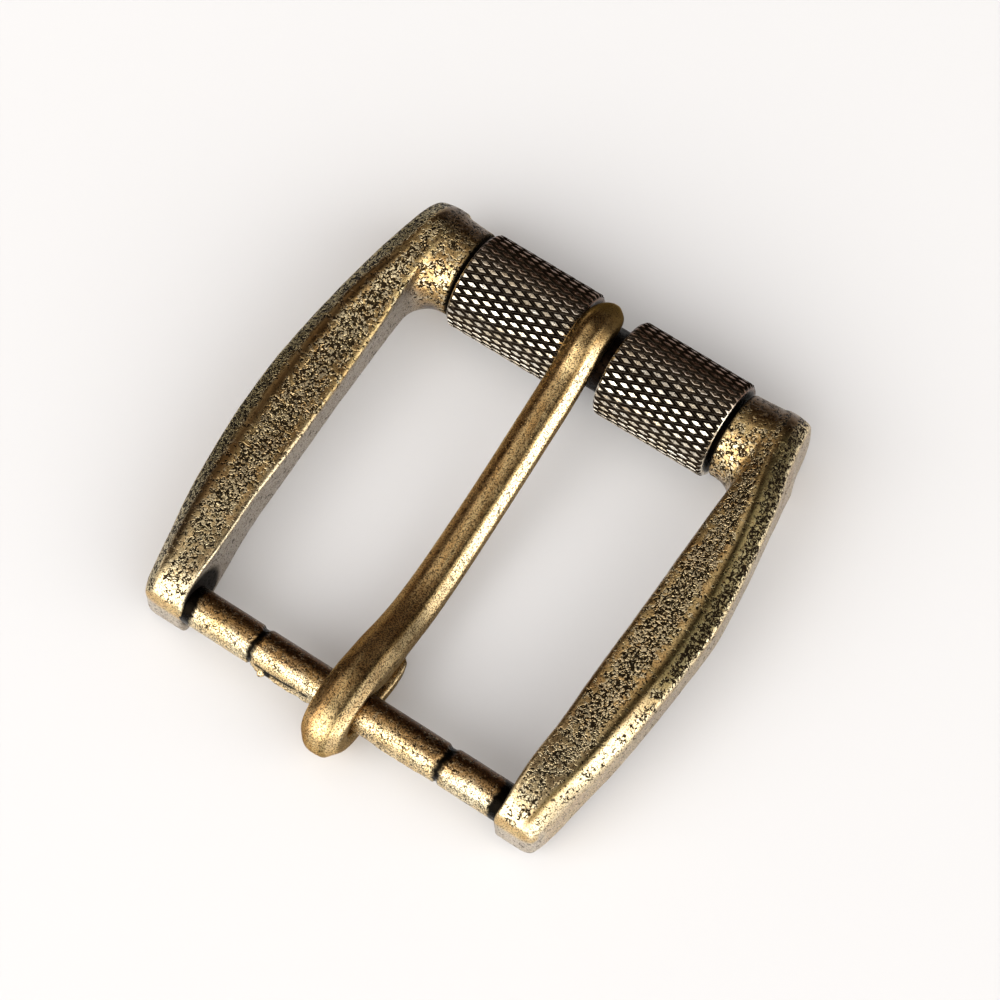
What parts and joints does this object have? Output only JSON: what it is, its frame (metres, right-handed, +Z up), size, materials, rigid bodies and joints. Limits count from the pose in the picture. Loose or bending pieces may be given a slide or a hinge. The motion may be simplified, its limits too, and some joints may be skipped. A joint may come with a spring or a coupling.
{
  "type": "roller buckle",
  "caption": "Belt buckle with bowed cast side arms, two knurled rollers on the front bar and a hooked prong that hinges on the heel bar.",
  "frame": {"origin": "under the middle of the buckle, on the resting face", "axes": "+Z up from the resting face, +Y from the heel bar toward the rollers, X along the bars"},
  "size_m": [0.0538, 0.057, 0.0118],
  "materials": {
    "cast_brass": "antiqued, cast texture on the faces",
    "knurled_brass": "blackened, knurl worn bright",
    "prong_brass": "antiqued, half polished"
  },
  "bodies": {
    "frame": {"frame": "cast_brass"},
    "roller_left": {"roller_left": "knurled_brass"},
    "roller_right": {"roller_right": "knurled_brass"},
    "prong": {"prong": "prong_brass"}
  },
  "joints": [
    {"name": "prong_hinge", "type": "hinge", "parent": "frame", "child": "prong", "pos_m": [0, -0.02291, 0.00475], "axis": [1, 0, 0], "range_deg": [0, 340]},
    {"name": "roller_left_spin", "type": "hinge", "parent": "frame", "child": "roller_left", "pos_m": [-0.00942, 0.02306, 0.00545], "axis": [1, 0, 0], "continuous": true},
    {"name": "roller_right_spin", "type": "hinge", "parent": "frame", "child": "roller_right", "pos_m": [0.00882, 0.02306, 0.00545], "axis": [1, 0, 0], "continuous": true}
  ]
}
